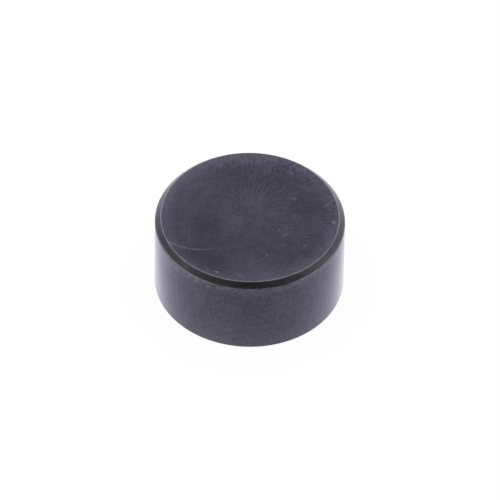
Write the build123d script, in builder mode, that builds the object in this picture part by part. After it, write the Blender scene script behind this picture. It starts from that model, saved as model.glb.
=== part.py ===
from build123d import *
import os

# Valve shim: a small hardened steel disc, turned and then ground, that sits in the
# pocket of a valve spring retainer, under the bucket, and sets the valve clearance.
# Millimetres. The origin is the centre of the lower face, and +Z is the disc's axis.

# Driving dimensions
shim_diameter = 7.48
shim_thickness = 3.50
bevel_size = 0.23
upper_corner_radius = 0.06
rim_corner_radius = 0.12
lower_edge_radius = 0.04

shim_radius = shim_diameter / 2

with BuildPart() as valve_shim:
    # Half of the disc's section: out along the lower face, up the rim, in over the
    # 45 degree bevel and along the upper face. Tumbling has rounded each corner.
    with BuildSketch(Plane.XZ):
        with BuildLine():
            outline = FilletPolyline(
                (0, 0),
                (shim_radius, 0),
                (shim_radius, shim_thickness - bevel_size),
                (shim_radius - bevel_size, shim_thickness),
                (0, shim_thickness),
                radius=[lower_edge_radius, rim_corner_radius, upper_corner_radius],
            )
            Line(outline @ 1, outline @ 0)
        make_face()
    revolve(axis=Axis.Z)

valve_shim.part.label = "valve_shim"

os.makedirs("parts", exist_ok=True)
export_step(valve_shim.part, "parts/valve_shim.step")
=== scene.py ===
"""Valve shim: a small disc of hardened, ground steel, dressed for a close-up on a white table.

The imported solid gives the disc's radius and thickness. A finer mesh of the same disc stands for it, with
true round corners. Each of its surfaces gets the finish that its last operation left: ground faces, a
turned bevel, corners rubbed in tumbling and a centreless-ground rim. The marks of the wheels and of
handling are in those finishes.
"""

from __future__ import annotations

import logging
import math
from collections.abc import Iterable
from dataclasses import dataclass
from enum import Enum
from typing import Any

import bmesh
import bpy
from mathutils import Matrix, Vector

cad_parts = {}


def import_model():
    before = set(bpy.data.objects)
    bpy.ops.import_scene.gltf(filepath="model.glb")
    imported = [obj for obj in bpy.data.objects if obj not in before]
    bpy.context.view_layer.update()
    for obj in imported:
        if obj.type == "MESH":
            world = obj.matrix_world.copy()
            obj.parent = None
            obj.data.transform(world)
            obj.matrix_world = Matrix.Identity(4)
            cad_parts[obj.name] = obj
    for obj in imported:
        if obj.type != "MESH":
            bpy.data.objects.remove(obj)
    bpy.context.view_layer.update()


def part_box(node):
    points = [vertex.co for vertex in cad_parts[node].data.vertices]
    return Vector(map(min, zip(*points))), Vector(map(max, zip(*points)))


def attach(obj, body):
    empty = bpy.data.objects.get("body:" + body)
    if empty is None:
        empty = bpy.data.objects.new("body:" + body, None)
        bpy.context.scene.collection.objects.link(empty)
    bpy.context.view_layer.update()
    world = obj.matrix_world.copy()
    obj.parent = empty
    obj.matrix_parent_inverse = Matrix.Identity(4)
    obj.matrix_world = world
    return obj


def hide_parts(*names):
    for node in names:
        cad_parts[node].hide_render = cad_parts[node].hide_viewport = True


Node = bpy.types.Node
Socket = bpy.types.NodeSocket
Tree = bpy.types.NodeTree

LOG = logging.getLogger("valve_shim")

MM = 0.001
PER_MM = 1000.0
ONE_BAND_PER_UNIT = math.pi / 10  # the scale at which a wave texture repeats once in each unit
THROUGH = 99.0  # size in millimetres of a spot that runs right through the disc
ACROSS = (1, 1, 0)  # keeps the part of a place that lies across the disc


class Zone(Enum):
    """The surfaces of the disc, numbered as its material slots."""

    UPPER_FACE = 0
    UPPER_CORNER = 1
    BEVEL = 2
    OUTER_CORNERS = 3
    RIM = 4
    LOWER_FACE = 5


def linear(hex_colour: str) -> tuple[float, float, float, float]:
    """Turns an sRGB hex colour into the linear colour that a shader takes.

    Args:
        hex_colour: A colour such as "#4a4852".

    Returns:
        Red, green, blue and an alpha of 1.
    """
    levels = [int(hex_colour[i : i + 2], 16) / 255 for i in (1, 3, 5)]
    red, green, blue = (v / 12.92 if v <= 0.04045 else ((v + 0.055) / 1.055) ** 2.4 for v in levels)
    return red, green, blue, 1.0


def add_node(
    tree: Tree,
    kind: str,
    sockets: tuple[Any, ...] | dict[int | str, Any] = (),
    **settings: Any,
) -> Node:
    """Adds a node, sets it and links what feeds it.

    Args:
        tree: The node tree that gets the node.
        kind: The node's type, such as "ShaderNodeMath".
        sockets: What the inputs get, in their order, or by name or number: a value, another node's socket,
            or a node, whose first output is used.
        settings: Attributes of the node, such as operation.

    Returns:
        The new node.
    """
    node = tree.nodes.new(kind)
    for name, value in settings.items():
        setattr(node, name, value)
    for socket, value in sockets.items() if isinstance(sockets, dict) else enumerate(sockets):
        source = value.outputs[0] if isinstance(value, Node) else value
        if isinstance(source, Socket):
            tree.links.new(source, node.inputs[socket])
        else:
            node.inputs[socket].default_value = source
    return node


def new_material(name: str) -> tuple[bpy.types.Material, Tree]:
    """Makes a material with an empty node tree.

    Args:
        name: What the surface is made of and how it was made.

    Returns:
        The material and its node tree.
    """
    material = bpy.data.materials.new(name)
    material.use_nodes = True
    material.node_tree.nodes.clear()
    return material, material.node_tree


def weighted_sum(tree: Tree, base: Node | float, layers: Iterable[tuple[Node, Node | float]]) -> Node:
    """Adds layers to a base, each by its share.

    Args:
        tree: The material's node tree.
        base: What the layers are added to.
        layers: Pairs of a layer and its share.

    Returns:
        The node that gives the sum.
    """
    total = base
    for layer, share in layers:
        total = add_node(tree, "ShaderNodeMath", (layer, share, total), operation="MULTIPLY_ADD")
    return total


def place_from(tree: Tree, place: Node, centre: tuple[float, float, float], turn: float) -> Node:
    """Adds the place as measured from a centre, along axes that are turned about Z.

    Args:
        tree: The material's node tree.
        place: Node that gives the place in millimetres.
        centre: The centre, in millimetres.
        turn: The axes' turn, in degrees.

    Returns:
        The node that gives the measured place.
    """
    moved = add_node(tree, "ShaderNodeVectorMath", (place, centre), operation="SUBTRACT")
    sockets = {"Vector": moved, "Angle": -math.radians(turn)}
    return add_node(tree, "ShaderNodeVectorRotate", sockets, rotation_type="Z_AXIS")


@dataclass(frozen=True)
class OilFilm:
    """The thin film of preserving oil on the steel, which adds a wet sheen at low angles."""

    weight: float = 1.0
    roughness: float = 0.12
    edge_hex: str = "#e2d8ff"


@dataclass(frozen=True)
class Spot:
    """A soft oval place in a finish: a worn, dented or discoloured place, a painted shade or a painted
    highlight.

    The centre and the size are in millimetres, and the turn about Z is in degrees. A size of THROUGH lets
    the spot run right through the disc along that axis. The fade is the share of the spot's reach over which
    it thins out.
    """

    centre: tuple[float, float, float]
    size: tuple[float, float, float]
    turn: float
    strength: float
    fade: float = 1.0

    def mask(self, tree: Tree, place: Node) -> Node:
        """Adds the spot's mask, its strength at the middle and nothing past its outline.

        Args:
            tree: The material's node tree.
            place: Node that gives the place in millimetres.

        Returns:
            The node whose output is the mask.
        """
        turned = place_from(tree, place, self.centre, self.turn)
        per_half_size = tuple(2 / size for size in self.size)
        sized = add_node(tree, "ShaderNodeVectorMath", (turned, per_half_size), operation="MULTIPLY")
        reach = add_node(tree, "ShaderNodeVectorMath", (sized,), operation="LENGTH").outputs["Value"]
        return add_node(
            tree,
            "ShaderNodeMapRange",
            (reach, 1 - self.fade, 1, self.strength, 0),
            interpolation_type="SMOOTHSTEP",
        )


@dataclass(frozen=True)
class ArcScratch:
    """A light scratch along a circular arc, where the disc skidded under another part.

    Sizes and places are in millimetres, and the angles are in degrees from +X.
    """

    x: float = -1.95
    y: float = 0.21
    radius: float = 2.04
    width: float = 0.065
    strength: float = 0.135
    middle: float = -114.0
    half_span: float = 50.0
    fade: float = 0.6

    def mask(self, tree: Tree, place: Node) -> Node:
        """Adds the scratch's mask, its strength along the middle of its line and fading to both ends.

        Args:
            tree: The material's node tree.
            place: Node that gives the place in millimetres.

        Returns:
            The node whose output is the mask.
        """
        turned = place_from(tree, place, (self.x, self.y, 0), self.middle)
        flat = add_node(tree, "ShaderNodeVectorMath", (turned, ACROSS), operation="MULTIPLY")
        reach = add_node(tree, "ShaderNodeVectorMath", (flat,), operation="LENGTH").outputs["Value"]
        off_line = add_node(tree, "ShaderNodeMath", (reach, self.radius), operation="SUBTRACT")
        distance = add_node(tree, "ShaderNodeMath", (off_line,), operation="ABSOLUTE")
        across = add_node(
            tree, "ShaderNodeMapRange", (distance, 0, self.width, 1, 0), interpolation_type="SMOOTHSTEP"
        )
        parts = add_node(tree, "ShaderNodeSeparateXYZ", (flat,)).outputs
        signed_angle = add_node(tree, "ShaderNodeMath", (parts["Y"], parts["X"]), operation="ARCTAN2")
        angle = add_node(tree, "ShaderNodeMath", (signed_angle,), operation="ABSOLUTE")
        end = math.radians(self.half_span)
        along = add_node(
            tree,
            "ShaderNodeMapRange",
            (angle, end * (1 - self.fade), end, self.strength, 0),
            interpolation_type="SMOOTHSTEP",
        )
        return add_node(tree, "ShaderNodeMath", (across, along), operation="MULTIPLY")


@dataclass(frozen=True)
class Pattern:
    """What a finish draws on its steel, as the nodes that give each part of it.

    The shade goes from the dark colour at 0 to the light one at 1. The mottle varies the roughness, the
    height raises the marks, and the masks in bared show bare steel.
    """

    shade: Node
    mottle: Node
    height: Node
    bared: tuple[Node, ...] = ()


@dataclass(frozen=True, kw_only=True)
class SteelFinish:
    """What the finishes of the disc's steel share: colours, discoloured and painted spots, roughness, depth
    of marks and oil.

    The depth of the marks is in millimetres. A discoloured spot, or one of painted shade, darkens the steel;
    one with a strength below 0 lightens it, as a paler place or a painted highlight.
    """

    name: str
    dark_hex: str
    light_hex: str
    bare_hex: str = "#b9b6c3"
    stains_and_painted_light: tuple[Spot, ...] = ()
    roughness: float
    roughness_spread: float
    bump_height: float
    film: OilFilm = OilFilm()

    def draw(self, tree: Tree, place: Node) -> Pattern:
        """Adds the finish's own pattern.

        Args:
            tree: The material's node tree.
            place: Node that gives the place in millimetres.

        Returns:
            The pattern.
        """
        raise NotImplementedError

    def shade_with_spots(
        self, tree: Tree, place: Node, base: Node | float, layers: Iterable[tuple[Node, Node | float]] = ()
    ) -> Node:
        """Adds up the steel's shade from a base and its layers, each by its share, less the discoloured and
        painted spots.

        Args:
            tree: The material's node tree.
            place: Node that gives the place in millimetres.
            base: The shade before the layers.
            layers: Pairs of a layer and its share.

        Returns:
            The node that gives the shade.
        """
        stains_and_painted_light = [(spot.mask(tree, place), -1) for spot in self.stains_and_painted_light]
        return weighted_sum(tree, base, [*layers, *stains_and_painted_light])

    def build(self) -> bpy.types.Material:
        """Makes the material.

        Returns:
            The finish, ready for a material slot.
        """
        material, tree = new_material(self.name)
        metres = add_node(tree, "ShaderNodeTexCoord").outputs["Object"]
        place = add_node(tree, "ShaderNodeMapping", {"Vector": metres, "Scale": (PER_MM, PER_MM, PER_MM)})
        pattern = self.draw(tree, place)
        overlays = [(pattern.shade, self.light_hex), *((mask, self.bare_hex) for mask in pattern.bared)]
        colour: Any = linear(self.dark_hex)
        for share, overlay_hex in overlays:
            sockets = {"Factor": share, "A": colour, "B": linear(overlay_hex)}
            colour = add_node(tree, "ShaderNodeMix", sockets, data_type="RGBA").outputs["Result"]
        sockets = {"Height": pattern.height, "Strength": 1, "Distance": self.bump_height * MM}
        bump = add_node(tree, "ShaderNodeBump", sockets)
        smoothest = self.roughness - self.roughness_spread / 2
        steel = add_node(
            tree,
            "ShaderNodeBsdfPrincipled",
            {
                "Base Color": colour,
                "Metallic": 1.0,
                "Roughness": weighted_sum(tree, smoothest, [(pattern.mottle, self.roughness_spread)]),
                "Normal": bump,
                "Specular Tint": linear(self.film.edge_hex),
                "Coat Weight": self.film.weight,
                "Coat Roughness": self.film.roughness,
                "Coat Normal": bump,
            },
        )
        add_node(tree, "ShaderNodeOutputMaterial", {"Surface": steel})
        return material


@dataclass(frozen=True, kw_only=True)
class GroundFaceFinish(SteelFinish):
    """Hardened alloy steel, surface ground and tempered to a dark gunmetal.

    A coarse wheel has left marks that fan out over one half of the face and run straight over the other.
    They are clearest along the back edge, where the face is also rubbed lighter. The rest is worn to a
    mottled satin with soft darker clouds. Lengths are in millimetres and angles in degrees from +X. A pair
    is a start and an end, or a least and a most.
    """

    disc_radius: float
    nicks: tuple[Spot, ...] = ()
    scratch: ArcScratch | None = None
    dark_hex: str = "#36333c"
    light_hex: str = "#615f6c"
    inner_spacing: float = 0.16
    outer_spacing: float = 0.12
    mark_length: float = 0.38
    mark_waver: float = 2.0
    comb_share: float = 0.20
    uneven_share: float = 0.80
    uneven_rate: float = 1.3
    fan_closing: float = 0.3
    outer_pole_y: float = -0.9
    inner_fan_at: float = 0.33
    fans_meet: tuple[float, float] = (0.52, 0.68)
    bevel_width: float = 0.25
    outer_marks_reach: tuple[float, float] = (0.9, 0.45)
    unmarked_middle: tuple[float, float] = (0.5, 1.2)
    clear_side: float = 58.0
    edge_lean: tuple[float, float] = (0.25, 0.85)
    edge_mark_share: tuple[float, float] = (0.08, 0.86)
    inner_lean: tuple[float, float] = (-0.5, 0.9)
    inner_clear_share: tuple[float, float] = (0.2, 0.9)
    inner_mark_share: float = 0.62
    worn_side: float = 110.0
    worn_lean: tuple[float, float] = (-0.1, 1.0)
    ring_width: float = 0.6
    ring_share: float = 0.27
    band_width: float = 1.1
    band_share: tuple[float, float] = (0.02, 0.34)
    grain_size: float = 0.10
    patch_size: float = 0.30
    cloud_size: float = 1.6
    grain_share: float = 0.78
    patch_share: float = 0.36
    cloud_share: float = 0.22
    base_shade: float = -0.33
    darkest_shade: float = 0.15
    darkest_blend: float = 0.12
    roughness: float = 0.34
    roughness_spread: float = 0.12
    bump_height: float = 0.002
    film: OilFilm = OilFilm(weight=0.0, edge_hex="#ece6fb")

    @property
    def face_edge(self) -> float:
        """Radius at which the face ends and the bevel starts."""
        return self.disc_radius - self.bevel_width

    def fan_marks(
        self, tree: Tree, place: Node, radius: Socket, spacing: float, pole_y: float, at_radius: float
    ) -> Node:
        """Adds grinding marks that fan out on the right half and stand straight on the left half.

        Args:
            tree: The material's node tree.
            place: Node that gives the place in millimetres.
            radius: Distance from the disc's axis.
            spacing: Distance from mark to mark.
            pole_y: Where on the Y axis the fan opens from.
            at_radius: Where on the fan the marks have their right spacing.

        Returns:
            The node whose output is the marks' tone, 0 on average.
        """
        parts = add_node(tree, "ShaderNodeSeparateXYZ", (place,)).outputs
        left = add_node(tree, "ShaderNodeMath", (parts["X"], 0), operation="MINIMUM")
        ahead = add_node(tree, "ShaderNodeMath", (parts["Y"], pole_y), operation="SUBTRACT")
        turned = add_node(tree, "ShaderNodeMath", (parts["X"], ahead), operation="ARCTAN2")
        # The marks lie closer together the further the fan has turned.
        closer = add_node(tree, "ShaderNodeMath", (turned, self.fan_closing, 1), operation="MULTIPLY_ADD")
        fanned = add_node(tree, "ShaderNodeMath", (turned, at_radius), operation="MULTIPLY")
        fanned = add_node(tree, "ShaderNodeMath", (fanned, closer), operation="MULTIPLY")
        right = add_node(tree, "ShaderNodeMath", (fanned, 0), operation="MAXIMUM")
        across = add_node(tree, "ShaderNodeMath", (right, left), operation="ADD")
        mark_place = add_node(
            tree,
            "ShaderNodeCombineXYZ",
            {
                "X": add_node(tree, "ShaderNodeMath", (across, 1 / spacing), operation="MULTIPLY"),
                "Y": add_node(tree, "ShaderNodeMath", (radius, 1 / self.mark_length), operation="MULTIPLY"),
                "Z": at_radius,
            },
        )
        comb = add_node(
            tree,
            "ShaderNodeTexWave",
            {
                "Vector": mark_place,
                "Scale": ONE_BAND_PER_UNIT,
                "Distortion": self.mark_waver,
                "Detail": 1,
                "Detail Scale": 2,
            },
        )
        sockets = {"Vector": mark_place, "Scale": self.uneven_rate, "Detail": 1}
        uneven = add_node(tree, "ShaderNodeTexNoise", sockets)
        layers = ((comb, self.comb_share), (uneven, self.uneven_share))
        return weighted_sum(tree, -(self.comb_share + self.uneven_share) / 2, layers)

    def toward(self, tree: Tree, flat: Node, angle: float) -> Socket:
        """Adds how far a place lies to one side of the face, from 1 on that side to -1 across from it.

        Args:
            tree: The material's node tree.
            flat: Node that gives the place across the disc.
            angle: The side, in degrees from +X.

        Returns:
            The socket of the measure.
        """
        outward = add_node(tree, "ShaderNodeVectorMath", (flat,), operation="NORMALIZE")
        side = (math.cos(math.radians(angle)), math.sin(math.radians(angle)), 0)
        lean = add_node(tree, "ShaderNodeVectorMath", (outward, side), operation="DOT_PRODUCT")
        return lean.outputs["Value"]

    def marks(self, tree: Tree, place: Node, radius: Socket) -> Node:
        """Adds the grinding marks of the whole face: an inner fan and an outer one that opens lower.

        Args:
            tree: The material's node tree.
            place: Node that gives the place in millimetres.
            radius: Distance from the disc's axis.

        Returns:
            The node whose output is the marks' tone, 0 on average.
        """
        inner_radius = self.inner_fan_at * self.disc_radius
        inner = self.fan_marks(tree, place, radius, self.inner_spacing, 0, inner_radius)
        outer = self.fan_marks(tree, place, radius, self.outer_spacing, self.outer_pole_y, self.disc_radius)
        meet = (share * self.disc_radius for share in self.fans_meet)
        outer_share = add_node(tree, "ShaderNodeMapRange", (radius, *meet, 0, 1))
        return add_node(
            tree, "ShaderNodeMix", {"Factor": outer_share, 2: inner, 3: outer}, data_type="FLOAT"
        )

    def mark_share(self, tree: Tree, flat: Node, radius: Socket, near_edge: Node) -> Node:
        """Adds how clear the grinding marks are: strong at the back edge and faint over the worn face.

        Args:
            tree: The material's node tree.
            flat: Node that gives the place across the disc.
            radius: Distance from the disc's axis.
            near_edge: Mask of the outer marks.

        Returns:
            The node whose output is the marks' share of the shade.
        """
        # The middle of the face has no marks, so that the fan doesn't close to a star.
        off_middle = add_node(
            tree, "ShaderNodeMapRange", (radius, *self.unmarked_middle, 0, self.inner_mark_share)
        )
        lean = self.toward(tree, flat, self.clear_side)
        edge_clear, inner_clear = (
            add_node(tree, "ShaderNodeMapRange", (lean, *leans, *shares), interpolation_type="SMOOTHSTEP")
            for leans, shares in (
                (self.edge_lean, self.edge_mark_share),
                (self.inner_lean, self.inner_clear_share),
            )
        )
        return weighted_sum(tree, 0, ((off_middle, inner_clear), (near_edge, edge_clear)))

    def wear(self, tree: Tree, flat: Node, radius: Socket) -> Node:
        """Adds the paler steel near the edge: a narrow ring all round and a wider band at the back.

        Args:
            tree: The material's node tree.
            flat: Node that gives the place across the disc.
            radius: Distance from the disc's axis.

        Returns:
            The node whose output is the wear.
        """
        ring = add_node(
            tree,
            "ShaderNodeMapRange",
            (radius, self.face_edge - self.ring_width, self.face_edge, 0, 1),
            interpolation_type="SMOOTHSTEP",
        )
        band = add_node(
            tree, "ShaderNodeMapRange", (radius, self.face_edge - self.band_width, self.face_edge, 0, 1)
        )
        band_share = add_node(
            tree,
            "ShaderNodeMapRange",
            (self.toward(tree, flat, self.worn_side), *self.worn_lean, *self.band_share),
            interpolation_type="SMOOTHSTEP",
        )
        return weighted_sum(tree, 0, ((band, band_share), (ring, self.ring_share)))

    def draw(self, tree: Tree, place: Node) -> Pattern:
        """Adds the face's pattern: its marks, grain, patches and clouds, its nicks and its scratch.

        Args:
            tree: The material's node tree.
            place: Node that gives the place in millimetres.

        Returns:
            The pattern.
        """
        # Ground and tempered steel is a dark, faintly violet grey satin to the eye: it mirrors only light
        # and shade, and the wheel's marks show as fine paler lines.
        flat = add_node(tree, "ShaderNodeVectorMath", (place, ACROSS), operation="MULTIPLY")
        radius = add_node(tree, "ShaderNodeVectorMath", (flat,), operation="LENGTH").outputs["Value"]
        reach = (self.face_edge - inset for inset in self.outer_marks_reach)
        near_edge = add_node(tree, "ShaderNodeMapRange", (radius, *reach, 0, 1))
        marks = self.marks(tree, place, radius)
        # The grit leaves a grain of about 0.02 mm. It is drawn at 0.10 mm, the finest that shows, over
        # worn patches of 0.30 mm and temper clouds of 1.6 mm.
        noises = ((self.grain_size, 3, 0.6), (self.patch_size, 1, 0.5), (self.cloud_size, 2, 0.5))
        grain, patch, cloud = (
            add_node(
                tree,
                "ShaderNodeTexNoise",
                {"Vector": place, "Scale": 1 / size, "Detail": detail, "Roughness": harshness},
            )
            for size, detail, harshness in noises
        )
        layers = (
            (marks, self.mark_share(tree, flat, radius, near_edge)),
            (grain, self.grain_share),
            (patch, self.patch_share),
            (cloud, self.cloud_share),
            (self.wear(tree, flat, radius), 1),
        )
        # The bottoms of the marks are never darker than the oxide itself.
        shade = add_node(
            tree,
            "ShaderNodeMath",
            (self.shade_with_spots(tree, place, self.base_shade, layers), self.darkest_shade, self.darkest_blend),
            operation="SMOOTH_MAX",
        )
        bare_places = (*self.nicks, *((self.scratch,) if self.scratch else ()))
        return Pattern(
            shade=shade,
            mottle=grain,
            height=weighted_sum(tree, grain, [(marks, near_edge)]),
            bared=tuple(bare_place.mask(tree, place) for bare_place in bare_places),
        )


@dataclass(frozen=True, kw_only=True)
class TurnedBevelFinish(SteelFinish):
    """Bevel turned before hardening and left unground, with the tool's faint rings and a clean dark oxide.

    Lengths are in millimetres.
    """

    name: str = "hardened_steel_turned_bevel"
    dark_hex: str = "#25242a"
    light_hex: str = "#494650"
    ring_spacing: float = 0.03
    ring_length: float = 2.0
    grain_size: float = 0.2
    shade_share: float = 2.0
    roughness: float = 0.22
    roughness_spread: float = 0.06
    bump_height: float = 0.0008
    film: OilFilm = OilFilm(weight=0.8, edge_hex="#e9e3f4")

    def draw(self, tree: Tree, place: Node) -> Pattern:
        """Adds the bevel's pattern: the tool's rings over a soft grain.

        Args:
            tree: The material's node tree.
            place: Node that gives the place in millimetres.

        Returns:
            The pattern.
        """
        # A turned cone under oxide is smooth enough to mirror the room, so it looks black in front, where
        # it faces the dark side of the room, and grey to white at the sides and at the back.
        # The tool's feed leaves a ring every 0.03 mm of height, and each varies slowly round the disc.
        stretch = (1 / self.ring_length, 1 / self.ring_length, 1 / self.ring_spacing)
        ring_place = add_node(tree, "ShaderNodeVectorMath", (place, stretch), operation="MULTIPLY")
        rings = add_node(tree, "ShaderNodeTexNoise", {"Vector": ring_place, "Scale": 1, "Detail": 1})
        sockets = {"Vector": place, "Scale": 1 / self.grain_size, "Detail": 3}
        grain = add_node(tree, "ShaderNodeTexNoise", sockets)
        ringed = add_node(tree, "ShaderNodeMath", (rings, grain), operation="MULTIPLY")
        shade = self.shade_with_spots(tree, place, 0, [(ringed, self.shade_share)])
        return Pattern(shade=shade, mottle=grain, height=rings)


@dataclass(frozen=True, kw_only=True)
class GroundRimFinish(SteelFinish):
    """Rim ground between centreless wheels: an even, fine satin under oil, scuffed along its upper edge,
    and paler towards its foot, which is a painted reflection of the white table.

    Lengths are in millimetres. A pair is a start and an end. The rubs are its nicks, the places that
    handling has rubbed paler and a painted highlight along the front foot.
    """

    disc_height: float
    rubs: tuple[Spot, ...] = ()
    name: str = "hardened_steel_centreless_ground_rim"
    dark_hex: str = "#130a24"
    light_hex: str = "#363142"
    bare_hex: str = "#6b6776"
    streak_spacing: float = 0.13
    streak_length: float = 0.6
    grain_size: float = 0.12
    patch_size: float = 0.36
    streak_share: float = 0.4
    grain_share: float = 5.0
    patch_share: float = 0.9
    base_shade: float = -2.83
    foot_reflection_height: float = 1.4
    foot_reflection_share: float = 0.45
    upper_edge_drop: tuple[float, float] = (0.7, 0.3)
    upper_edge_share: float = 0.2
    scuff_height: float = 0.05
    scuff_length: float = 0.28
    scuff_levels: tuple[float, float] = (0.46, 0.68)
    scuff_strength: float = 0.7
    edge_scuff_share: float = 0.7
    ring_drop: float = 0.46
    ring_half_width: float = 0.07
    ring_scuff_share: float = 0.25
    scuffed_side: Spot = Spot((-2.7, -2.6, 3.15), (2.6, 2.6, 0.9), 0, 0.8)
    roughness: float = 0.25
    roughness_spread: float = 0.06
    bump_height: float = 0.004

    def scaled_noise(self, tree: Tree, place: Node, width: float, height: float, detail: float) -> Node:
        """Adds a noise whose cells have a width round the rim and a height along it.

        Args:
            tree: The material's node tree.
            place: Node that gives the place in millimetres.
            width: The cells' width.
            height: The cells' height.
            detail: How many finer layers the noise has.

        Returns:
            The noise.
        """
        stretch = (1 / width, 1 / width, 1 / height)
        scaled = add_node(tree, "ShaderNodeVectorMath", (place, stretch), operation="MULTIPLY")
        sockets = {"Vector": scaled, "Scale": 1, "Detail": detail, "Roughness": 0.7}
        return add_node(tree, "ShaderNodeTexNoise", sockets)

    def bared(self, tree: Tree, place: Node, height_up: Socket, near_top: Node) -> Node:
        """Adds the mask of what is rubbed bare: scuffs round the upper edge, a faint ring and the rubs.

        Args:
            tree: The material's node tree.
            place: Node that gives the place in millimetres.
            height_up: Height above the lower face.
            near_top: Mask of the rim's upper edge.

        Returns:
            The node whose output is the mask.
        """
        flecks = self.scaled_noise(tree, place, self.scuff_length, self.scuff_height, 2)
        scuffs = add_node(tree, "ShaderNodeMapRange", (flecks, *self.scuff_levels, 0, self.scuff_strength))
        ring_height = self.disc_height - self.ring_drop
        off_ring = add_node(tree, "ShaderNodeMath", (height_up, ring_height), operation="SUBTRACT")
        distance = add_node(tree, "ShaderNodeMath", (off_ring,), operation="ABSOLUTE")
        on_ring = add_node(
            tree,
            "ShaderNodeMapRange",
            (distance, 0, self.ring_half_width, self.ring_scuff_share, 0),
            interpolation_type="SMOOTHSTEP",
        )
        sides = ((near_top, self.edge_scuff_share), (self.scuffed_side.mask(tree, place), 1))
        scuff_share = weighted_sum(tree, on_ring, sides)
        rubs = ((rub.mask(tree, place), 1) for rub in self.rubs)
        return weighted_sum(tree, 0, [(scuffs, scuff_share), *rubs])

    def draw(self, tree: Tree, place: Node) -> Pattern:
        """Adds the rim's pattern: its streaks, grain and patches, and what is rubbed bare.

        Args:
            tree: The material's node tree.
            place: Node that gives the place in millimetres.

        Returns:
            The pattern.
        """
        # Centreless-ground steel under oil is dark and wet to the eye, mirrors a pale room along its two
        # sides, and keeps a fine even mottle where it faces the eye.
        # The wheel's grain is finer than 0.05 mm. It is drawn at 0.12 mm, so that it shows, with upright
        # streaks 0.13 mm wide and rubbed patches of 0.36 mm.
        streaks = self.scaled_noise(tree, place, self.streak_spacing, self.streak_length, 2)
        grain = self.scaled_noise(tree, place, self.grain_size, self.grain_size, 5)
        patch = self.scaled_noise(tree, place, self.patch_size, self.patch_size, 1)
        height_up = add_node(tree, "ShaderNodeSeparateXYZ", (place,)).outputs["Z"]
        # Paler towards the foot: a painted reflection of the white table, which the rim mirrors there.
        painted_foot_reflection = add_node(
            tree,
            "ShaderNodeMapRange",
            (height_up, 0, self.foot_reflection_height, self.foot_reflection_share, 0),
            interpolation_type="SMOOTHSTEP",
        )
        near_top = add_node(
            tree,
            "ShaderNodeMapRange",
            (height_up, *(self.disc_height - drop for drop in self.upper_edge_drop), 0, 1),
            interpolation_type="SMOOTHSTEP",
        )
        layers = (
            (painted_foot_reflection, 1),
            (streaks, self.streak_share),
            (grain, self.grain_share),
            (patch, self.patch_share),
            (near_top, self.upper_edge_share),
        )
        return Pattern(
            shade=self.shade_with_spots(tree, place, self.base_shade, layers),
            mottle=patch,
            height=weighted_sum(tree, streaks, [(grain, 1)]),
            bared=(self.bared(tree, place, height_up, near_top),),
        )


@dataclass(frozen=True, kw_only=True)
class RubbedCornerFinish(SteelFinish):
    """Round corners where tumbling and handling have rubbed the dark finish to brighter steel, unevenly.

    Lengths are in millimetres.
    """

    wear_size: float = 0.35
    roughness: float = 0.28
    roughness_spread: float = 0.08
    bump_height: float = 0.002

    def draw(self, tree: Tree, place: Node) -> Pattern:
        """Adds the corner's pattern: uneven wear.

        Args:
            tree: The material's node tree.
            place: Node that gives the place in millimetres.

        Returns:
            The pattern.
        """
        # Steel that rubbing has bared looks paler and cleaner than the finish beside it, as a thin bright
        # line that is stronger in some places than in others.
        sockets = {"Vector": place, "Scale": 1 / self.wear_size, "Detail": 4, "Roughness": 0.6}
        wear = add_node(tree, "ShaderNodeTexNoise", sockets)
        return Pattern(shade=self.shade_with_spots(tree, place, wear), mottle=wear, height=wear)


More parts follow.
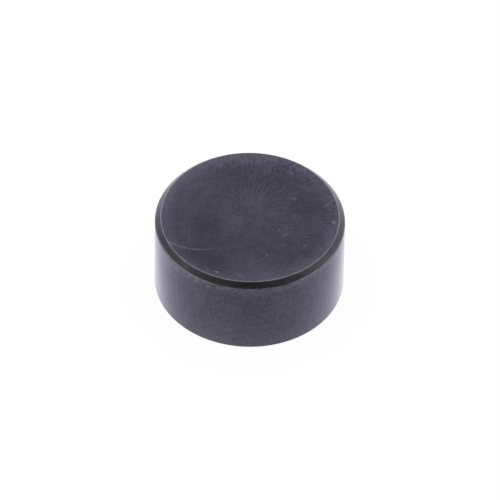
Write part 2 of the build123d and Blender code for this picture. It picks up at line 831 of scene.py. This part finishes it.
@dataclass
class ShimBody:
    """The disc itself, turned and ground in one piece. Sizes are in metres and angles in degrees."""

    radius: float
    thickness: float
    bevel: float = 0.23 * MM
    upper_corner: float = 0.06 * MM
    rim_corner: float = 0.12 * MM
    lower_corner: float = 0.04 * MM
    sides: int = 384
    corner_steps: int = 6
    face_step: float = 0.4 * MM
    margin: float = 0.02 * MM
    tolerance: float = 0.002 * MM
    tilt_tolerance: float = 1.0

    @property
    def corner_reach(self) -> float:
        """How far a round corner of radius 1 reaches along each side, where the sides turn by 45 degrees."""
        return math.tan(math.radians(22.5))

    @property
    def top(self) -> float:
        """Height of the upper face in millimetres, for its finishes."""
        return self.thickness * PER_MM

    def build(self) -> bpy.types.Object:
        """Models the disc and dresses it.

        Returns:
            The finished piece, with its place in its mesh.
        """
        piece = self.blank()
        self.cut_bevel(piece)
        self.round_corners(piece)
        self.ring_faces(piece)
        self.hold_flats()
        self.dress(piece)
        return piece

    def blank(self) -> bpy.types.Object:
        """Adds the plain cylinder, standing on the table with the origin at the centre of its foot.

        Returns:
            The piece, not yet shaped.
        """
        bpy.ops.object.select_all(action="DESELECT")
        bpy.ops.mesh.primitive_cylinder_add(
            vertices=self.sides,
            radius=self.radius,
            depth=self.thickness,
            end_fill_type="NGON",
            location=(0, 0, self.thickness / 2),
        )
        piece = bpy.context.active_object
        piece.name = piece.data.name = "ground_disc"
        bpy.ops.object.transform_apply(location=True, rotation=True, scale=True)
        return piece

    def select_ring(self, piece: bpy.types.Object, radius: float, height: float) -> None:
        """Selects the ring of edges at a radius and a height.

        Args:
            piece: The piece, in edit mode.
            radius: The ring's radius.
            height: Its height above the table.
        """
        bpy.ops.mesh.select_all(action="DESELECT")
        shape = bmesh.from_edit_mesh(piece.data)
        for edge in shape.edges:
            offsets = [(end.co.xy.length - radius, end.co.z - height) for end in edge.verts]
            if all(abs(offset) < self.tolerance for pair in offsets for offset in pair):
                edge.select_set(True)
        bmesh.update_edit_mesh(piece.data)

    def cut_bevel(self, piece: bpy.types.Object) -> None:
        """Cuts the 45 degree bevel round the upper face.

        Args:
            piece: The plain cylinder.
        """
        bpy.ops.object.mode_set(mode="EDIT")
        bpy.ops.mesh.select_mode(type="EDGE")
        self.select_ring(piece, self.radius, self.thickness)
        bpy.ops.mesh.bevel(offset_type="OFFSET", offset=self.bevel, segments=1, affect="EDGES")
        bpy.ops.object.mode_set(mode="OBJECT")

    def round_corners(self, piece: bpy.types.Object) -> None:
        """Rounds the two corners of the bevel and the edge of the lower face.

        Args:
            piece: The bevelled disc.
        """
        corners = (
            (self.radius - self.bevel, self.thickness, self.upper_corner * self.corner_reach),
            (self.radius, self.thickness - self.bevel, self.rim_corner * self.corner_reach),
            (self.radius, 0.0, self.lower_corner),
        )
        bpy.ops.object.mode_set(mode="EDIT")
        for radius, height, reach in corners:
            self.select_ring(piece, radius, height)
            bpy.ops.mesh.bevel(
                offset_type="OFFSET",
                offset=reach,
                segments=self.corner_steps,
                profile=0.5,
                affect="EDGES",
            )
        bpy.ops.object.mode_set(mode="OBJECT")

    def ring_faces(self, piece: bpy.types.Object) -> None:
        """Divides both end faces into rings down to a closed pole.

        Args:
            piece: The disc with round corners, its end faces still one face each.
        """
        bpy.ops.object.mode_set(mode="EDIT")
        bpy.ops.mesh.select_mode(type="FACE")
        for height in (self.thickness, 0.0):
            bpy.ops.mesh.select_all(action="DESELECT")
            shape = bmesh.from_edit_mesh(piece.data)
            for face in shape.faces:
                whole = len(face.verts) == self.sides
                if whole and abs(face.calc_center_median().z - height) < self.margin:
                    face.select_set(True)
                    reach = face.verts[0].co.xy.length
            bmesh.update_edit_mesh(piece.data)
            bpy.ops.mesh.inset(thickness=self.margin)
            reach -= self.margin
            while reach > 1.5 * self.face_step:
                bpy.ops.mesh.inset(thickness=self.face_step)
                reach -= self.face_step
            bpy.ops.mesh.poke()
        bpy.ops.object.mode_set(mode="OBJECT")

    def hold_flats(self) -> None:
        """Adds rings close to the disc's round corners, so that the flats between them shade flat."""
        bevel_foot = self.thickness - self.bevel
        rim_reach = self.rim_corner * self.corner_reach
        upper_reach = self.upper_corner * self.corner_reach
        up_the_bevel = math.sqrt(0.5)
        heights = (
            self.lower_corner + self.margin,
            bevel_foot - rim_reach - self.margin,
            bevel_foot + rim_reach * up_the_bevel + 0.5 * self.margin,
            self.thickness - upper_reach * up_the_bevel - 0.5 * self.margin,
        )
        bpy.ops.object.mode_set(mode="EDIT")
        for height in heights:
            bpy.ops.mesh.select_all(action="SELECT")
            bpy.ops.mesh.bisect(plane_co=(0, 0, height), plane_no=(0, 0, 1))
        bpy.ops.object.mode_set(mode="OBJECT")

    def zone_of(self, normal: Vector) -> Zone:
        """Tells which surface of the disc a mesh face belongs to.

        Args:
            normal: The mesh face's outward normal.

        Returns:
            The surface.
        """
        tilt = math.degrees(math.asin(max(-1.0, min(1.0, normal.z))))
        flats = ((90, Zone.UPPER_FACE), (45, Zone.BEVEL), (0, Zone.RIM), (-90, Zone.LOWER_FACE))
        for flat_tilt, zone in flats:
            if abs(tilt - flat_tilt) < self.tilt_tolerance:
                return zone
        return Zone.UPPER_CORNER if tilt > 45 else Zone.OUTER_CORNERS

    def upper_face_finish(self) -> GroundFaceFinish:
        """Gives the upper face's finish, with its nicks, its scratch and its darker and paler clouds.

        Returns:
            The finish.
        """
        top = self.top
        # A bright pit right of the middle and its smear, flecks at the back and the right, rubs along the
        # front edge, and faint rubs over the right half of the front.
        nicks = (
            Spot((1.16, -0.70, top), (0.11, 0.09, THROUGH), 0, 0.42),
            Spot((1.41, -0.94, top), (0.44, 0.14, THROUGH), 22, 0.15),
            Spot((1.74, 1.02, top), (0.30, 0.26, THROUGH), 0, 0.13),
            Spot((1.59, 2.44, top), (0.34, 0.32, THROUGH), 0, 0.12),
            Spot((0.00, 2.16, top), (0.16, 0.34, THROUGH), 0, 0.07),
            Spot((3.29, -0.23, top), (0.20, 0.24, THROUGH), 0, 0.20),
            Spot((-1.26, -3.01, top), (0.26, 0.12, THROUGH), -12, 0.32),
            Spot((-0.32, -3.21, top), (0.66, 0.13, THROUGH), -38, 0.14),
            Spot((2.25, -1.04, top), (0.26, 0.10, THROUGH), 8, 0.11),
            Spot((2.16, -1.53, top), (0.34, 0.20, THROUGH), 5, 0.10),
            Spot((0.68, -2.09, top), (0.26, 0.14, THROUGH), 25, 0.10),
            Spot((1.30, -1.50, top), (0.34, 0.18, THROUGH), 0, 0.07),
        )
        darker = (
            Spot((1.02, 2.50, top), (0.34, 0.30, THROUGH), 0, 0.14),
            Spot((-1.65, -0.85, top), (1.6, 2.4, THROUGH), 0, 0.13, 0.5),
            Spot((2.2, 0.55, top), (1.6, 1.4, THROUGH), 0, 0.12, 0.6),
            Spot((1.45, 2.3, top), (2.4, 1.1, THROUGH), -40, 0.10),
            Spot((-0.5, 2.6, top), (2.8, 0.9, THROUGH), 0, 0.08),
            Spot((-1.8, -2.4, top), (3.0, 1.7, THROUGH), -38, 0.26, 0.8),
            Spot((1.2, -1.9, top), (2.6, 1.5, THROUGH), 0, 0.08),
            Spot((2.3, -1.6, top), (1.8, 1.8, THROUGH), 0, 0.08),
            Spot((-0.8, -1.7, top), (2.6, 1.9, THROUGH), 4, 0.12),
            Spot((1.6, 1.5, top), (1.4, 4.0, THROUGH), 57, 0.08),
            Spot((-0.4, 2.0, top), (2.3, 1.4, THROUGH), 0, 0.08),
            Spot((1.2, -1.5, top), (4.0, 2.5, THROUGH), -31, 0.05),
            Spot((-3.5, -1.0, top), (3.4, 1.8, THROUGH), 0, 0.11),
            Spot((1.4, 3.1, top), (2.2, 1.7, THROUGH), -27, 0.12),
            Spot((-2.85, -1.95, top), (0.8, 1.3, THROUGH), 30, 0.14),
        )
        paler = (
            Spot((0.15, 0.9, top), (1.4, 1.8, THROUGH), 0, -0.10),
            Spot((-0.6, -0.3, top), (1.1, 1.4, THROUGH), 0, -0.10),
            Spot((1.4, -0.9, top), (1.2, 0.9, THROUGH), 0, -0.05),
            Spot((0.2, -2.9, top), (2.4, 1.4, THROUGH), 0, -0.06),
            Spot((-2.0, 1.4, top), (2.2, 2.2, THROUGH), 0, -0.06),
            Spot((0.7, -3.1, top), (4.0, 1.8, THROUGH), -18, -0.07),
            Spot((0.5, 0.6, top), (3.3, 1.4, THROUGH), -45, -0.07),
            Spot((3.15, -0.95, top), (0.9, 1.6, THROUGH), 0, -0.14),
            Spot((0.2, 3.0, top), (0.5, 0.7, THROUGH), 0, -0.15),
            Spot((-0.4, 2.97, top), (0.5, 0.6, THROUGH), 0, -0.12),
            Spot((2.4, 1.5, top), (0.7, 0.6, THROUGH), 0, -0.10),
        )
        return GroundFaceFinish(
            name="hardened_steel_ground_upper_face",
            disc_radius=self.radius * PER_MM,
            nicks=nicks,
            stains_and_painted_light=darker + paler,
            scratch=ArcScratch(),
        )

    def rim_finish(self) -> GroundRimFinish:
        """Gives the rim's finish: its nicks and rubbed places, its painted shade in front and low at the
        sides, and its paler places and painted highlight along the front foot.

        Returns:
            The finish.
        """
        nicks = (
            Spot((-2.83, -2.44, 2.99), (0.22, 0.30, 0.10), -40, 0.9),
            Spot((-2.28, -2.97, 3.00), (0.24, 0.30, 0.08), -35, 0.5),
            Spot((-2.00, -3.16, 3.09), (0.26, 0.30, 0.11), -33, 1.0),
            Spot((-1.57, -3.40, 3.07), (0.24, 0.30, 0.10), -25, 0.8),
            Spot((-1.29, -3.51, 3.03), (0.20, 0.30, 0.08), -20, 0.4),
            Spot((3.33, -1.70, 3.00), (0.16, 0.30, 0.12), 63, 0.9),
            Spot((2.01, -3.15, 3.08), (0.30, 0.30, 0.07), 33, 0.4),
        )
        # The first rubbed place, at the front foot, is a painted highlight along the foot.
        rubbed = (
            Spot((-1.2, -3.55, 0.1), (3.2, 1.8, 0.9), 0, 0.13),
            Spot((-3.2, -1.9, 2.9), (2.0, 2.4, 1.5), 0, 0.30),
            Spot((-2.3, -2.9, 2.8), (1.6, 2.0, 1.2), 0, 0.07),
            Spot((2.5, -2.75, 2.4), (1.8, 2.0, 2.0), 0, 0.05),
        )
        # Darker in front and low at both sides: painted shade, for the shadowed table that the rim mirrors
        # there.
        darker = (
            Spot((0.2, -3.7, 2.2), (1.6, 2.0, 2.2), 0, 0.30),
            Spot((1.6, -3.4, 0.9), (2.4, 2.0, 1.8), 0, 0.35),
            Spot((3.1, -2.1, 0.5), (1.8, 2.2, 1.5), 0, 0.60),
            Spot((-3.05, -2.15, 0.9), (1.7, 2.2, 1.7), 0, 0.50),
        )
        # The first and the third paler places, low at the front, are a painted highlight along the foot.
        paler = (
            Spot((-1.1, -3.6, 0.9), (1.9, 2.0, 1.9), 0, -0.45),
            Spot((-1.9, -3.3, 2.4), (1.8, 2.0, 1.6), 0, -0.40),
            Spot((-1.3, -3.5, 0.1), (2.6, 2.0, 1.1), 0, -0.40),
            Spot((2.80, -2.48, 1.6), (0.14, 0.5, 1.6), 48, -0.40),
        )
        return GroundRimFinish(disc_height=self.top, rubs=nicks + rubbed, stains_and_painted_light=darker + paler)

    def finishes(self) -> dict[Zone, SteelFinish]:
        """Gives the finish of each surface.

        The upper corner is brighter at the two sides and darker at the back, the outer corners are darker at
        the front and at the back, and the bevel at the front left. All of these are painted highlight and
        painted shade.

        Returns:
            The finishes, by surface.
        """
        top = self.top
        return {
            Zone.UPPER_FACE: self.upper_face_finish(),
            Zone.UPPER_CORNER: RubbedCornerFinish(
                name="hardened_steel_upper_corner_rubbed_and_painted_light",
                dark_hex="#413e49",
                light_hex="#96929f",
                film=OilFilm(weight=0.0, edge_hex="#8f8b98"),
                # Paler at the two sides: painted highlight; darker at the back: painted shade, for what the
                # corner mirrors there.
                stains_and_painted_light=(
                    Spot((3.3, 0.9, top), (2.8, 5.0, THROUGH), 0, -0.50),
                    Spot((-3.3, 0.9, top), (2.8, 5.0, THROUGH), 0, -0.50),
                    Spot((0, 3.7, top), (5.0, 3.0, THROUGH), 0, 0.5),
                ),
            ),
            # The bevel's darker front left is painted shade in what it mirrors there.
            Zone.BEVEL: TurnedBevelFinish(stains_and_painted_light=(Spot((-3.3, -1.6, top), (4.2, 4.2, THROUGH), 0, 0.6),)),
            Zone.OUTER_CORNERS: RubbedCornerFinish(
                name="hardened_steel_outer_corners_rubbed_and_painted_shade",
                dark_hex="#3a3741",
                light_hex="#8a8694",
                film=OilFilm(weight=0.45),
                # Darker at the front and at the back: painted shade, for what the corners mirror there.
                stains_and_painted_light=(
                    Spot((0.3, -3.7, top), (5.6, 4.0, THROUGH), 0, 0.32, 0.5),
                    Spot((0, 8.4, top), (18, 18, THROUGH), 0, 0.9, 0.12),
                ),
            ),
            Zone.RIM: self.rim_finish(),
            Zone.LOWER_FACE: GroundFaceFinish(
                name="hardened_steel_ground_lower_face", disc_radius=self.radius * PER_MM
            ),
        }

    def dress(self, piece: bpy.types.Object) -> None:
        """Shades the disc smooth and gives each of its surfaces its finish.

        Args:
            piece: The finished mesh.
        """
        finishes = self.finishes()
        for zone in Zone:
            piece.data.materials.append(finishes[zone].build())
        for face in piece.data.polygons:
            face.material_index = self.zone_of(face.normal).value
        bpy.ops.object.select_all(action="DESELECT")
        piece.select_set(True)
        bpy.context.view_layer.objects.active = piece
        bpy.ops.object.shade_smooth()


@dataclass
class Studio:
    """White table, a soft lamp over the back of it and a dark panel in front. Sizes are in metres.

    The table lies table_gap below the disc's foot, so that the two surfaces don't fight for the same place.
    The panel's shades are pairs of a place across it and a level of grey, from left to right.
    """

    table_size: float = 3.0
    table_gap: float = 0.01 * MM
    table_hex: str = "#f8f8f8"
    white_hex: str = "#ffffff"
    seen_white: float = 0.93
    sky_light: float = 0.85
    softbox_size: float = 0.60
    softbox_place: tuple[float, float, float] = (0.0, 0.06, 0.42)
    softbox_watts: float = 1.1
    panel_distance: float = 0.32
    panel_width: float = 2.2
    panel_height: float = 0.69
    panel_foot: float = 0.20
    panel_warmth: tuple[float, float, float] = (1.0, 0.94, 0.93)
    panel_shades: tuple[tuple[float, float], ...] = (
        (-1.10, 0.85),
        (-0.47, 0.54),
        (-0.25, 0.41),
        (-0.10, 0.30),
        (-0.03, 0.20),
        (0.06, 0.20),
        (0.12, 0.27),
        (0.50, 0.44),
        (0.80, 0.80),
        (1.10, 0.90),
    )

    def build(self) -> None:
        """Sets up the table, the panel, the lamp and the surrounding light."""
        self.lay_table()
        self.stand_panel()
        self.hang_softbox()
        self.light_room()

    def seen_directly(self, tree: Tree) -> Node:
        """Adds a mask that is 1 for what is seen, directly, in metal or through glass, and 0 for lighting.

        Args:
            tree: The node tree of the table or the room.

        Returns:
            The node whose output is the mask.
        """
        rays = add_node(tree, "ShaderNodeLightPath").outputs
        seen = add_node(
            tree, "ShaderNodeMath", (rays["Is Camera Ray"], rays["Is Glossy Ray"]), operation="MAXIMUM"
        )
        return add_node(tree, "ShaderNodeMath", (seen, rays["Is Transmission Ray"]), operation="MAXIMUM")

    def lay_table(self) -> None:
        """Lays the table top, which is seen near white, keeps the disc's shadow and is clear from below."""
        bpy.ops.object.select_all(action="DESELECT")
        bpy.ops.mesh.primitive_plane_add(size=self.table_size, location=(0, 0, -self.table_gap))
        table = bpy.context.active_object
        table.name = "table"
        material, tree = new_material("table_matt_white")
        # Matt white paint, most of it replaced by plain white where it is seen, so that it looks like the
        # room behind it and only a soft shadow is left at the disc's foot.
        paint = add_node(tree, "ShaderNodeBsdfDiffuse", {"Color": linear(self.table_hex)})
        glow = add_node(tree, "ShaderNodeEmission", {"Color": linear(self.white_hex), "Strength": 1})
        seen = self.seen_directly(tree)
        share = add_node(tree, "ShaderNodeMath", (seen, self.seen_white), operation="MULTIPLY")
        top_side = add_node(tree, "ShaderNodeMixShader", (share, paint, glow))
        backfacing = add_node(tree, "ShaderNodeNewGeometry").outputs["Backfacing"]
        camera_ray = add_node(tree, "ShaderNodeLightPath").outputs["Is Camera Ray"]
        from_below = add_node(tree, "ShaderNodeMath", (backfacing, camera_ray), operation="MULTIPLY")
        clear = add_node(tree, "ShaderNodeBsdfTransparent")
        one_sided = add_node(tree, "ShaderNodeMixShader", (from_below, top_side, clear))
        add_node(tree, "ShaderNodeOutputMaterial", {"Surface": one_sided})
        table.data.materials.append(material)

    def stand_panel(self) -> None:
        """Stands the dark panel in front, which only the bevel and its corners mirror, as real ones do."""
        bpy.ops.object.select_all(action="DESELECT")
        bpy.ops.mesh.primitive_plane_add(
            size=1,
            location=(0, -self.panel_distance, self.panel_foot + self.panel_height / 2),
            rotation=(math.radians(90), 0, 0),
        )
        panel = bpy.context.active_object
        panel.name = "dark_panel"
        panel.scale = (self.panel_width, self.panel_height, 1)
        material, tree = new_material("panel_grey_shades")
        # The panel's own X goes from -0.5 to 0.5 and the ramp of shades from 0 to 1.
        half = 0.5
        place = add_node(tree, "ShaderNodeTexCoord").outputs["Object"]
        across = add_node(tree, "ShaderNodeSeparateXYZ", (place,)).outputs["X"]
        from_left = add_node(tree, "ShaderNodeMath", (across, half), operation="ADD")
        shades = add_node(tree, "ShaderNodeValToRGB", (from_left,))
        stops = shades.color_ramp.elements
        stops.remove(stops[1])
        for number, (x, level) in enumerate(self.panel_shades):
            position = x / self.panel_width + half
            stop = stops[0] if number == 0 else stops.new(position)
            stop.position = position
            stop.color = (*(level * share for share in self.panel_warmth), 1)
        glow = add_node(tree, "ShaderNodeEmission", {"Color": shades, "Strength": 1})
        add_node(tree, "ShaderNodeOutputMaterial", {"Surface": glow})
        panel.data.materials.append(material)
        panel.visible_camera = False
        panel.visible_diffuse = False
        panel.visible_shadow = False

    def hang_softbox(self) -> None:
        """Hangs the soft lamp over the back of the table, turned to the disc.

        It lights the table and is kept out of reflections, where the white room is already as bright as the
        steel's own colours need.
        """
        place = Vector(self.softbox_place)
        bpy.ops.object.select_all(action="DESELECT")
        aim = (-place).to_track_quat("-Z", "Y").to_euler()
        bpy.ops.object.light_add(type="AREA", location=place, rotation=aim)
        lamp = bpy.context.active_object
        lamp.name = "softbox"
        lamp.data.shape = "SQUARE"
        lamp.data.size = self.softbox_size
        lamp.data.energy = self.softbox_watts
        lamp.visible_glossy = False

    def light_room(self) -> None:
        """Lights the room with an even white, at full white where it is seen."""
        room = bpy.data.worlds.new("white_room")
        bpy.context.scene.world = room
        room.use_nodes = True
        tree = room.node_tree
        tree.nodes.clear()
        colour = linear(self.white_hex)
        light = add_node(tree, "ShaderNodeBackground", {"Color": colour, "Strength": self.sky_light})
        white = add_node(tree, "ShaderNodeBackground", {"Color": colour, "Strength": 1})
        mixed = add_node(tree, "ShaderNodeMixShader", (self.seen_directly(tree), light, white))
        add_node(tree, "ShaderNodeOutputWorld", {"Surface": mixed})


@dataclass
class PhotoCamera:
    """The photograph's camera: a long lens that looks down on the disc from the front, slightly tilted.

    The pixels are in the photograph's 500 by 500 frame, lengths are in metres and angles in degrees. What
    is nearer or further than the clip shares of the distance isn't drawn.
    """

    elevation: float = 46.32
    roll: float = -1.06
    distance: float = 0.265
    pixels_per_mm: float = 25.24
    foot_x: float = 248.93
    foot_y: float = 278.05
    frame_pixels: int = 500
    sensor_mm: float = 36.0
    clip_shares: tuple[float, float] = (0.01, 100.0)

    def build(self) -> None:
        """Adds the camera and makes it the scene's own.

        The centre of the disc's lower face is seen at foot_x, foot_y, so the camera aims beside it.
        """
        tilt = math.radians(self.elevation)
        turn = math.radians(self.roll)
        right = Vector((1, 0, 0))
        up = Vector((0, math.sin(tilt), math.cos(tilt)))
        back = Vector((0, -math.cos(tilt), math.sin(tilt)))
        image_right = math.cos(turn) * right - math.sin(turn) * up
        image_up = math.sin(turn) * right + math.cos(turn) * up
        middle = self.frame_pixels / 2
        aim = (middle - self.foot_x) * image_right + (self.foot_y - middle) * image_up
        aim *= MM / self.pixels_per_mm
        bpy.ops.object.select_all(action="DESELECT")
        bpy.ops.object.camera_add()
        camera = bpy.context.active_object
        camera.name = "photo_camera"
        axes = Matrix((image_right, image_up, back)).transposed().to_4x4()
        camera.matrix_world = Matrix.Translation(aim + back * self.distance) @ axes
        focal_pixels = self.pixels_per_mm * self.distance * PER_MM
        camera.data.sensor_width = self.sensor_mm
        camera.data.lens = focal_pixels * self.sensor_mm / self.frame_pixels
        camera.data.clip_start, camera.data.clip_end = (share * self.distance for share in self.clip_shares)
        bpy.context.scene.camera = camera


def main() -> None:
    """Builds the disc on its frame, the studio and the camera."""
    logging.basicConfig(level=logging.INFO, format="%(name)s: %(message)s")
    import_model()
    low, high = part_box("valve_shim")
    disc = ShimBody(radius=high.x, thickness=high.z - low.z).build()
    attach(disc, "root")
    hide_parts("valve_shim")
    LOG.info("%s: %d faces for node valve_shim", disc.name, len(disc.data.polygons))
    Studio().build()
    LOG.info("studio: table, dark panel, softbox and room")
    PhotoCamera().build()
    LOG.info("camera: %.0f mm lens", bpy.context.scene.camera.data.lens)
    bpy.context.scene.view_settings.view_transform = "Standard"


if __name__ == "__main__":
    main()
